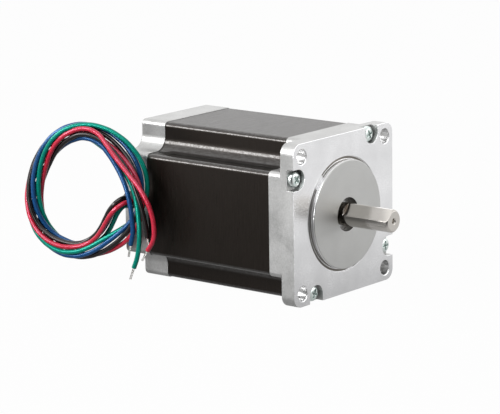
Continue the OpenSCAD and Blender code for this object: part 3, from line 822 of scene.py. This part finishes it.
    def rear_bell(self) -> bpy.types.Object:
        """Makes the rear bell with its bearing seat, screw holes and grommet hole."""
        body = self.notched(0, self.stack_end, self.rear)
        body.bevel(body.end_edges(self.rear), self.rear_chamfer, 3)
        low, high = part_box("lead_grommet")
        side = Solid.spun([(0, 0), (self.grommet_hole, 0), (self.grommet_hole, 4 * self.over * 2),
                           (0, 4 * self.over * 2)], 48)
        bmesh.ops.rotate(side.mesh, verts=side.mesh.verts, cent=(0, 0, 0),
                         matrix=Matrix.Rotation(math.radians(-90), 3, "Z"))
        side.moved(-self.width / 2 - self.over, (low.y + high.y) / 2, (low.z + high.z) / 2)
        lip = self.seat_rear - self.lip
        past_hub = self.hub_radius + self.over
        seat = Solid.spun([(0, self.stack_end - self.over), (past_hub, self.stack_end - self.over), (past_hub, lip),
                           (self.bearing_radius, lip), (self.bearing_radius, self.rear - self.rear_wall),
                           (0, self.rear - self.rear_wall)])
        recess = self.rod(self.recess_radius, self.rear - self.recess_depth, self.rear + self.over)
        cavity = self.ring(self.hub_radius, self.cavity_radius, self.stack_end - self.over,
                           self.rear - self.rear_floor)
        threads = [self.rod(self.screw_radius, self.stack_end - self.over, self.rear + self.over, 32)
                   for _ in range(4)]
        body.carved((Shape.CUT, seat), (Shape.CUT, recess), (Shape.CUT, cavity),
                    (Shape.CUT, self.at_screws(threads)), (Shape.CUT, side))
        body.softened(self.break_width)
        return body.to_piece("rear_bell", HOUSING, "bell_aluminium", (SIDE_ALUMINIUM,), ["rear_end_bell"])

    def screws(self) -> bpy.types.Object:
        """Makes the four through screws, each with a cross-recessed pan head."""
        top = self.pocket_depth - self.head_height
        rise = [0.0, 0.35, 0.62, 0.82, 0.95, 1.0]
        profile = [(0, top)]
        for share in rise:
            radius = self.head_radius * (0.45 + 0.55 * share)
            profile.append((radius, top + self.head_height * 0.62 * (1 - math.sqrt(1 - share ** 2))))
        profile += [(self.head_radius, self.pocket_depth), (self.screw_radius, self.pocket_depth),
                    (self.screw_radius, self.rear - self.screw_tip), (0, self.rear - self.screw_tip)]
        made = []
        for turn in range(4):
            screw = Solid.spun(profile, 40)
            arms = []
            for quarter in range(2):
                half_length, half_width = self.cross_length / 2, self.cross_width / 2
                arm = Solid.slab([(half_length, -half_width), (half_length, half_width),
                                  (-half_length, half_width), (-half_length, -half_width)],
                                 top - self.over, top + self.cross_depth)
                arms.append(arm.turned(90 * quarter + 23 * turn))
            screw.carved((Shape.CUT, arms[0]), (Shape.CUT, arms[1]))
            made.append(screw.softened(0.07 * MM))
        return self.at_screws(made).to_piece("screws", HOUSING, "zinc_screw", (ZINC,), ["through_screws"])

    def make(self) -> None:
        """Makes every piece of the housing."""
        self.front_bell()
        self.rear_bell()
        self.screws()


@dataclass
class Stator:
    """The stack of black sheets, with its bore, its poles and their teeth."""

    housing: Housing
    poles: int = 8
    teeth: int = 6
    tooth_step: float = 7.2
    tooth_half: float = 1.62
    tooth_depth: float = 0.7 * MM
    bore_radius: float = 16.996 * MM
    shoe_radius: float = 18.592 * MM
    shoe_taper: float = 0.3 * MM
    pole_half: float = 3.3 * MM
    slot_radius: float = 23.996 * MM

    def pole_air(self, middle: float) -> list[tuple[float, float]]:
        """Outlines the air before one pole and in the slot after it.

        Args:
            middle: The pole's angle, in degrees.

        Returns:
            X and Z of each corner.
        """
        def polar(radius: float, angle: float) -> tuple[float, float]:
            """Gives the point at a radius and an angle."""
            return radius * math.cos(math.radians(angle)), radius * math.sin(math.radians(angle))

        def beside(radius: float, side: float) -> tuple[float, float]:
            """Gives the point on the pole's flank whose distance from the axis is the radius."""
            return polar(radius, middle + side * math.degrees(math.asin(self.pole_half / radius)))

        neck = math.hypot(self.shoe_radius + self.shoe_taper, self.pole_half)
        shoe = (self.teeth - 1) / 2 * self.tooth_step + self.tooth_half
        outline = [beside(self.slot_radius, -1), beside(neck, -1), polar(self.shoe_radius, middle - shoe)]
        for tooth in range(self.teeth):
            centre = middle + (tooth - (self.teeth - 1) / 2) * self.tooth_step
            low, high = centre - self.tooth_half, centre + self.tooth_half
            if tooth:
                outline.append(polar(self.bore_radius + self.tooth_depth, low))
            outline += [polar(self.bore_radius, low), polar(self.bore_radius, centre), polar(self.bore_radius, high)]
            if tooth < self.teeth - 1:
                outline.append(polar(self.bore_radius + self.tooth_depth, high))
        outline += [polar(self.shoe_radius, middle + shoe), beside(neck, 1)]
        flank = math.degrees(math.asin(self.pole_half / self.slot_radius))
        spread = 360 / self.poles - 2 * flank
        return outline + [polar(self.slot_radius, middle + flank + spread * step / 4) for step in range(4)]

    def make(self) -> bpy.types.Object:
        """Makes the stack and returns it."""
        housing = self.housing
        start, end = housing.bell - housing.over, housing.stack_end + housing.over
        air = [corner for pole in range(self.poles) for corner in self.pole_air(pole * 360 / self.poles)]
        channels = [housing.rod(housing.screw_radius + housing.screw_gap, start, end, 32) for _ in range(4)]
        body = housing.notched(housing.inset, housing.bell, housing.stack_end)
        body.carved((Shape.CUT, Solid.slab(air, start, end)), (Shape.CUT, housing.at_screws(channels)))
        return body.to_piece("stator_stack", HOUSING, "lamination", (LAMINATION_BLACK,), ["stator_core"])


@dataclass
class Shaft:
    """The rotor's shaft, with its flat and centre hole."""

    radius: float = 4 * MM
    core_radius: float = 5 * MM
    reach: float = 21 * MM
    rear_end: float = 74.1 * MM
    core_start: float = 8.2 * MM
    core_end: float = 66.5 * MM
    flat_depth: float = 0.9 * MM
    flat_end: float = 2.2 * MM
    flat_turn: float = 45
    tip_chamfer: float = 0.6 * MM
    centre_radius: float = 0.75 * MM
    break_width: float = 0.1 * MM

    def make(self) -> bpy.types.Object:
        """Makes the shaft and returns it."""
        tip = -self.reach
        body = Solid.spun([
            (0, tip + 2.8 * self.centre_radius), (self.centre_radius, tip + 2 * self.centre_radius),
            (self.centre_radius, tip + 0.5 * self.centre_radius), (1.5 * self.centre_radius, tip),
            (self.radius - self.tip_chamfer, tip), (self.radius, tip + self.tip_chamfer),
            (self.radius, self.core_start), (self.core_radius, self.core_start),
            (self.core_radius, self.core_end), (self.radius, self.core_end), (self.radius, self.rear_end),
            (0, self.rear_end)], 96)
        side, top = 2 * self.radius, self.radius - self.flat_depth
        cutter = Solid.slab([(side, top), (side, top + side), (-side, top + side), (-side, top)],
                            tip - MM, -self.flat_end).turned(-self.flat_turn)
        body.carved((Shape.CUT, cutter)).softened(self.break_width, 2, 30)
        # The step at the end of the flat takes the painted shade.
        for face in body.mesh.faces:
            if face.normal.y < -0.9 and abs(face.calc_center_median().y + self.flat_end) < self.break_width:
                face.material_index = 1
        return body.to_piece("rotor_shaft", ROTOR, "ground_shaft", (GROUND_STEEL, CUT_END_PAINTED_SHADE), ["shaft"])


@dataclass
class Leads:
    """The grommet, and four leads that wind through one loop to their loose tails."""

    radius: float = 0.85 * MM
    tip_length: float = 4.5 * MM
    strand_radius: float = 0.15 * MM
    strands: int = 7
    grommet_neck: float = 2.4 * MM
    grommet_round: float = 0.8 * MM
    grommet_ring: float = 1.5 * MM
    coil_out: float = 4.4 * MM
    coil_back: float = 15 * MM
    coil_up: float = 2.1 * MM
    coil_turn: float = 12
    loop_radius: float = 22 * MM
    oval: float = 1.6 * MM
    oval_at: float = 60
    egg: float = 1 * MM
    egg_at: float = -20
    place_radius: float = 2.6 * MM
    place_side: float = 2.4 * MM
    place_at: float = 127
    place_step: float = 45
    twist: float = -1.5
    wind_from: int = 195
    wind_to: int = 720
    loop_step: int = 15

    COLOURS = ("red", "black", "blue", "green")
    EXIT_MIDDLE = ((0, 0, 0), (-1.6, 0, 0), (-3.4, 0.5, -0.8), (-4.7, 2.1, -3.2), (-4.5, 4.8, -7.2),
                   (-3.6, 7.8, -11.2), (-3, 11.4, -15), (-3.6, 15.4, -17.9))
    TAILS = (
        ((-6, 22, 3), (-10, 19, 4.2), (-13.5, 15.5, 5.2), (-17, 12, 5.7), (-20.5, 8.5, 6.1), (-24, 5, 6.5),
         (-27, 1, 6.8), (-29, -3.5, 6.8), (-30, -8.5, 6.7), (-29.5, -13.5, 6.5), (-27, -17.5, 6.2)),
        ((-6.3, 20, 2.6), (-10.6, 17.4, 2.9), (-14.4, 14, 3.3), (-17.8, 10.2, 3.8), (-20.6, 6, 4.5),
         (-22.8, 1.4, 5), (-24.6, -3.4, 5.2), (-25.8, -8.4, 5.2), (-26.4, -13.4, 5.1)),
        ((-6.2, 18, 1.8), (-10, 15, 2.6), (-13.2, 11.3, 3.2), (-16, 7.2, 3.8), (-18.2, 2.8, 4.4),
         (-19.5, -2, 4.7), (-20.2, -7, 4.8), (-20.4, -12, 4.7), (-19.2, -16.6, 4.3)),
        ((-5.8, 16.8, 0), (-9.8, 14.2, 0.5), (-13.4, 11, 1.2), (-16.8, 7.4, 1.9), (-19.6, 3.2, 2.7),
         (-21.5, -1.4, 3.6), (-22.6, -6.3, 4.4), (-23.2, -11.3, 5), (-23, -16.3, 5.2), (-22, -21, 5),
         (-20.7, -24.5, 5)))
    FINISHES = (insulation("red", (0.56, 0.01, 0.03), (0.7, 0.03, 0.065), (1.0, 0.5, 0.7)),
                insulation("black", (0.004, 0.0035, 0.0035), (0.008, 0.007, 0.007), (0.5, 0.46, 0.46)),
                insulation("blue", (0.003, 0.045, 0.15), (0.006, 0.08, 0.25), (0.3, 0.55, 1.0)),
                insulation("green", (0.001, 0.19, 0.14), (0.002, 0.27, 0.2), (0.1, 0.9, 0.7)))

    def __post_init__(self) -> None:
        """Works out where the loop lies from the grommet's face."""
        low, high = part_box("lead_grommet")
        self.low, self.high = low, high
        self.face = Vector((low.x, (low.y + high.y) / 2, (low.z + high.z) / 2))
        turn = math.radians(self.coil_turn)
        self.rearwards = Vector((-math.sin(turn), math.cos(turn), 0))
        self.outwards = Vector((-math.cos(turn), -math.sin(turn), 0))
        self.middle = self.face + Vector((-self.coil_out, self.coil_back, self.coil_up))

    def in_loop(self, back: float, top: float, out: float) -> Vector:
        """Gives a point from its place rearwards, up and out from the loop's middle."""
        return self.middle + self.rearwards * back + Vector((0, 0, top)) + self.outwards * out

    def mean_radius(self, angle: float) -> float:
        """Gives the loop's mean radius at a clockwise angle from its top, in degrees."""
        oval = self.oval * math.cos(math.radians(2 * (angle - self.oval_at)))
        return self.loop_radius + oval + self.egg * math.cos(math.radians(3 * (angle - self.egg_at)))

    def on_loop(self, angle: float, radius: float, out: float) -> Vector:
        """Gives the point of the loop at an angle, a radius and a stand-off."""
        turn = math.radians(angle)
        return self.in_loop(-radius * math.sin(turn), radius * math.cos(turn), out)

    def wound(self, lead: int, angle: float) -> Vector:
        """Gives a lead's point in the twisted bundle.

        Args:
            lead: The lead's number.
            angle: The clockwise angle from the loop's top, past 360 in the second turn.

        Returns:
            The point.
        """
        place = math.radians(self.place_at + lead * self.place_step + self.twist * (angle - self.wind_from))
        return self.on_loop(angle, self.mean_radius(angle) + self.place_radius * math.cos(place),
                            self.place_side * math.sin(place))

    def exit_route(self, lead: int) -> list[Vector]:
        """Gives a lead's points from the grommet's face to the loop.

        Args:
            lead: The lead's number.

        Returns:
            The points.
        """
        plane = Vector((0, 1, 1.7)).normalized()
        nudge = self.loop_step / 24
        along = (self.wound(lead, self.wind_from + nudge) - self.wound(lead, self.wind_from - nudge)).normalized()
        start = self.wound(lead, self.wind_from)
        centre = self.on_loop(self.wind_from, self.mean_radius(self.wind_from), 0)
        first = math.radians(self.place_at + 90 + 1.5 * self.place_step + (lead - 1.5) * 90)
        middles = [Vector(point) * MM for point in self.EXIT_MIDDLE]
        guide = [*middles, centre - self.face]
        across = along.cross(plane).normalized()
        last = len(middles) - 1
        route = []
        for step, middle in enumerate(middles):
            way = Vector((-1, 0, 0)) if step < 2 else (guide[step + 1] - guide[step - 1]).normalized()
            side = way.cross(plane).normalized()
            share = max(0, step - 1) / (last - 1)
            spot = [(1 - share) * self.grommet_ring * near + share * far for near, far in zip(
                (math.cos(first), math.sin(first)),
                ((start - centre).dot(across), (start - centre).dot(along.cross(across))))]
            route.append(self.face + middle + side * spot[0] + way.cross(side) * spot[1])
        return route

    def route(self, lead: int) -> list[Vector]:
        """Gives a lead's whole route, from the grommet's face to the end of its insulation."""
        loop = [self.wound(lead, angle) for angle in range(self.wind_from, self.wind_to + 1, self.loop_step)]
        tail = [self.in_loop(*(Vector(point) * MM)) for point in self.TAILS[lead]]
        return [*self.exit_route(lead), *loop, *tail]

    def line(self, name: str, routes: Sequence[Sequence[Vector]], radius: float, finish: Finish,
             sides: int) -> bpy.types.Object:
        """Makes a curve of smooth round lines.

        Args:
            name: The object's name.
            routes: The points of each line.
            radius: The lines' radius.
            finish: Their finish.
            sides: How many faces go round a quarter of a line.

        Returns:
            The curve object.
        """
        data = bpy.data.curves.new(name, "CURVE")
        data.dimensions = "3D"
        data.bevel_depth = radius
        data.bevel_resolution = sides
        data.resolution_u = 8
        data.use_fill_caps = True
        for points in routes:
            spline = data.splines.new("BEZIER")
            spline.bezier_points.add(len(points) - 1)
            for knot, point in zip(spline.bezier_points, points):
                knot.co = point
                knot.handle_left_type = knot.handle_right_type = "AUTO"
        data.materials.append(finish.made())
        made = bpy.data.objects.new(name, data)
        bpy.context.scene.collection.objects.link(made)
        return made

    def strands_at(self, name: str, end: Vector, way: Vector) -> bpy.types.Object:
        """Makes a lead's twisted and tinned strands past its insulation.

        Args:
            name: The object's name.
            end: Where the insulation ends.
            way: The lead's direction there.

        Returns:
            The strands as one curve object.
        """
        side = way.cross(Vector((0, 0, 1))).normalized()
        top = way.cross(side)
        routes = [[end - way * MM, end + way * self.tip_length]]
        for strand in range(self.strands - 1):
            points = []
            for step in range(12):
                share = step / 11
                turn = 2 * math.pi * (strand / (self.strands - 1) + 0.9 * share)
                reach = 2 * self.strand_radius * (1 - 0.25 * share)
                points.append(end + way * (share * (self.tip_length + MM) - MM)
                              + (side * math.cos(turn) + top * math.sin(turn)) * reach)
            routes.append(points)
        return self.line(name, routes, self.strand_radius, TINNED, 2)

    def grommet(self) -> bpy.types.Object:
        """Makes the rubber grommet that the leads come out of."""
        out = -self.face.x - Housing.width / 2
        reach = (self.high.z - self.low.z) / 2
        rounded = self.grommet_round
        profile = [(0, -out), (reach - rounded, -out)]
        for step in range(1, 6):
            turn = math.radians(90 * step / 6)
            profile.append((reach - rounded + rounded * math.sin(turn), -out + rounded - rounded * math.cos(turn)))
        profile += [(reach, rounded - out), (reach, 0), (Housing.grommet_hole, 0),
                    (Housing.grommet_hole, self.grommet_neck), (0, self.grommet_neck)]
        body = Solid.spun(profile, 64)
        bmesh.ops.rotate(body.mesh, verts=body.mesh.verts, cent=(0, 0, 0),
                         matrix=Matrix.Rotation(math.radians(-90), 3, "Z"))
        body.moved(-Housing.width / 2, self.face.y, self.face.z)
        return body.to_piece("grommet", HOUSING, "grommet_rubber", (GRIP_RUBBER,), ["lead_grommet"])

    def make(self) -> None:
        """Makes the grommet and the four leads with their stripped ends."""
        for lead, colour in enumerate(self.COLOURS):
            route = self.route(lead)
            wire = self.line(f"{colour}_lead", [route], self.radius, self.FINISHES[lead], 8)
            settle(wire, HOUSING, [f"{colour}_{part}" for part in ("exit", "coil", "tail")])
            tip = self.strands_at(f"{colour}_strands", route[-1], (route[-1] - route[-2]).normalized())
            settle(tip, HOUSING, ["lead_tips"])
        self.grommet()


class Insides:
    """Finishes for the CAD solids that keep their own shape."""

    FINISHES = {
        BEARING_STEEL: ("front_outer_race", "front_inner_race", "rear_outer_race", "rear_inner_race"),
        BALL_STEEL: ("front_balls", "rear_balls"),
        CAGE_BRASS: ("front_cage", "rear_cage"),
        SHIELD_STEEL: ("front_shields", "rear_shields"),
        SPRING_STEEL: ("wave_washer",),
        ROTOR_IRON: ("rotor_cup_1", "rotor_cup_2", "rotor_cup_3", "rotor_cup_4", "rotor_spacer"),
        MAGNET: ("rotor_magnet_front", "rotor_magnet_rear"),
        BOBBIN: ("front_insulator", "rear_insulator"),
        MAGNET_WIRE: ("phase_a_windings", "phase_b_windings"),
        BOARD: ("lead_board",)}

    def dress(self) -> None:
        """Gives each inner solid its finish."""
        for finish, nodes in self.FINISHES.items():
            for node in nodes:
                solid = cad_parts[node]
                solid.data.materials.clear()
                solid.data.materials.append(finish.made())
                LOG.info("%s is dressed in %s", node, finish.name)


class Studio:
    """A plain pale floor and soft light, with the dim room on the photographer's side."""

    FLOOR = 0.86
    BOUNCE = 0.2
    # These four set a painted shadow on the floor that metal sees, darkest round the middle and fading outwards.
    PAINTED_SHADE_MIDDLE = Vector((-0.08, 0.1, 0))
    PAINTED_SHADE_LEVEL = 0.42
    PAINTED_SHADE_FULL_AT = 0.06
    PAINTED_SHADE_GONE_AT = 0.25
    SHINE = 0.95
    CAMERA = 1.03
    MIRRORED = 0.7
    WORLD = 0.08
    CENTRE = Vector((0, 0.03, 0))
    ROOM = Vector((-0.6, -0.78, 0.17))
    ROOM_LIGHT = 0.1
    ROOM_EDGE = math.cos(math.radians(44))
    ROOM_CORE = math.cos(math.radians(12))
    WINDOW = Vector((0.35, 0.65, 0.55))
    WINDOW_LIGHT = 1.36
    WINDOW_EDGE = math.cos(math.radians(70))
    WINDOW_CORE = math.cos(math.radians(33))

    def towards(self, graph: Graph, unit: Socket, aim: Vector, edge: float, core: float, light: float) -> Socket:
        """Fades the light towards one direction.

        Args:
            graph: The floor's or the world's graph.
            unit: The direction looked in.
            aim: The middle of the cone that is lighter or darker.
            edge: The cosine of the angle at which the change starts.
            core: The cosine of the angle at which it is full.
            light: The light in the middle.

        Returns:
            The light, 1 outside the cone.
        """
        near = graph.add("VectorMath", {0: unit, 1: tuple(aim.normalized())}, operation="DOT_PRODUCT")
        return graph.add("MapRange", {"Value": near.outputs["Value"], "From Min": edge, "From Max": core,
                                      "To Min": 1.0, "To Max": light}, interpolation_type="SMOOTHSTEP").outputs["Result"]

    def room(self, graph: Graph, way: Socket) -> Socket:
        """Gives what metal sees of the stage: a dim photographer's side, and a window opposite.

        Args:
            graph: The floor's or the world's graph.
            way: The direction looked in, from the motor.

        Returns:
            The light in that direction.
        """
        unit = graph.add("VectorMath", {0: way}, operation="NORMALIZE").outputs[0]
        return graph.math(
            "MULTIPLY",
            self.towards(graph, unit, self.ROOM, self.ROOM_EDGE, self.ROOM_CORE, self.ROOM_LIGHT),
            self.towards(graph, unit, self.WINDOW, self.WINDOW_EDGE, self.WINDOW_CORE, self.WINDOW_LIGHT))

    def mirror(self, graph: Graph) -> Socket:
        """Gives 1 for the rays that metal and glass send out, and 0 for others."""
        ray = graph.add("LightPath")
        return graph.math("MAXIMUM", ray.outputs["Is Glossy Ray"], ray.outputs["Is Transmission Ray"])

    def floor(self) -> None:
        """Makes the floor that the motor lies on, which takes its soft shadow; what metal sees of it also has painted
        light, the room's dim side and window, and a painted shadow round the motor.
        """
        mesh = bmesh.new()
        bmesh.ops.create_grid(mesh, x_segments=2, y_segments=2, size=4)
        bmesh.ops.translate(mesh, verts=mesh.verts, vec=(0, 0, cad_low.z - MM / 50))
        floor = Solid(mesh).to_object("floor")
        material = bpy.data.materials.new("pale_floor")
        material.use_nodes = True
        graph = Graph(material.node_tree)
        place = graph.add("VectorMath", {0: graph.add("TexCoord").outputs["Object"], 1: tuple(self.CENTRE)},
                          operation="SUBTRACT").outputs[0]
        mirror = self.mirror(graph)
        # Painted shadow: what metal sees of the floor is darker close to the motor, and the room's painted light lies
        # on it too.
        reach = graph.add("VectorMath", {0: place, 1: tuple(self.PAINTED_SHADE_MIDDLE - self.CENTRE)},
                          operation="DISTANCE").outputs["Value"]
        painted_shade = graph.add("MapRange", {"Value": reach, "From Min": self.PAINTED_SHADE_FULL_AT, "From Max": self.PAINTED_SHADE_GONE_AT,
                                       "To Min": self.PAINTED_SHADE_LEVEL}).outputs["Result"]
        room = graph.math("MULTIPLY", self.room(graph, place), painted_shade)
        light = graph.add("Mix", {0: mirror, 2: self.CAMERA, 3: room}).outputs[0]
        shade = graph.add("Mix", {0: mirror, 2: self.BOUNCE,
                                  3: graph.math("MULTIPLY", room, self.FLOOR)}).outputs[0]
        matt = graph.add("BsdfDiffuse", {"Color": graph.add("CombineXYZ", {0: shade, 1: shade, 2: shade}).outputs[0]})
        plain = graph.add("Emission", {"Color": (1, 1, 1, 1), "Strength": light})
        camera = graph.math("MULTIPLY", graph.add("LightPath").outputs["Is Camera Ray"], self.SHINE)
        share = graph.math("ADD", camera, graph.math("MULTIPLY", mirror, self.MIRRORED))
        mix = graph.add("MixShader", {0: share, 1: matt.outputs[0], 2: plain.outputs[0]})
        below = graph.math("MULTIPLY", graph.add("NewGeometry").outputs["Backfacing"],
                           graph.add("LightPath").outputs["Is Camera Ray"])
        seen = graph.add("MixShader", {0: below, 1: mix.outputs[0], 2: graph.add("BsdfTransparent").outputs[0]})
        output = graph.add("OutputMaterial")
        graph.tree.links.new(seen.outputs[0], output.inputs["Surface"])
        floor.data.materials.append(material)

    def world(self) -> None:
        """Makes the even light round the motor, with a white background for the camera and for metal."""
        world = bpy.data.worlds.new("studio")
        world.use_nodes = True
        graph = Graph(world.node_tree)
        light = graph.add("Mix", {0: self.mirror(graph), 2: self.WORLD,
                                  3: self.room(graph, graph.add("TexCoord").outputs["Generated"])}).outputs[0]
        light = graph.add("Mix", {0: graph.add("LightPath").outputs["Is Camera Ray"], 2: light, 3: 1.0}).outputs[0]
        back = graph.add("Background", {"Color": (1, 1, 1, 1), "Strength": light})
        output = graph.add("OutputWorld")
        graph.tree.links.new(back.outputs[0], output.inputs["Surface"])
        bpy.context.scene.world = world

    def lamp(self, name: str, place: tuple[float, float, float], size: tuple[float, float],
             power: float) -> None:
        """Hangs one flat lamp that faces the motor.

        Args:
            name: The lamp's name.
            place: Where it hangs.
            size: Its two sides.
            power: Its power in watts.
        """
        data = bpy.data.lights.new(name, "AREA")
        data.shape = "RECTANGLE"
        data.size, data.size_y = size
        data.energy = power
        lamp = bpy.data.objects.new(name, data)
        lamp.location = place
        lamp.rotation_euler = (self.CENTRE - Vector(place)).to_track_quat("-Z", "Y").to_euler()
        bpy.context.scene.collection.objects.link(lamp)

    def make(self) -> None:
        """Makes the floor, the world and the lamps."""
        bpy.context.scene.view_settings.view_transform = "Standard"
        self.floor()
        self.world()
        self.lamp("left_lamp", (-0.62, 0.57, 0.36), (0.6, 0.24), 4.2)
        self.lamp("side_lamp", (-0.86, 0.1, 0.1), (0.24, 0.26), 2.2)
        self.lamp("top_lamp", (-0.62, -0.1, 0.66), (0.8, 0.6), 3.5)
        self.lamp("front_lamp", (0.6, -0.8, 0.3), (0.9, 0.6), 2)


def main() -> None:
    """Builds the motor's looks in order."""
    logging.basicConfig(level=logging.INFO, format="%(name)s: %(message)s")
    Photo().place()
    Leads().make()
    housing = Housing()
    housing.make()
    Stator(housing).make()
    Shaft().make()
    Insides().dress()
    Studio().make()


if __name__ == "__main__":
    main()
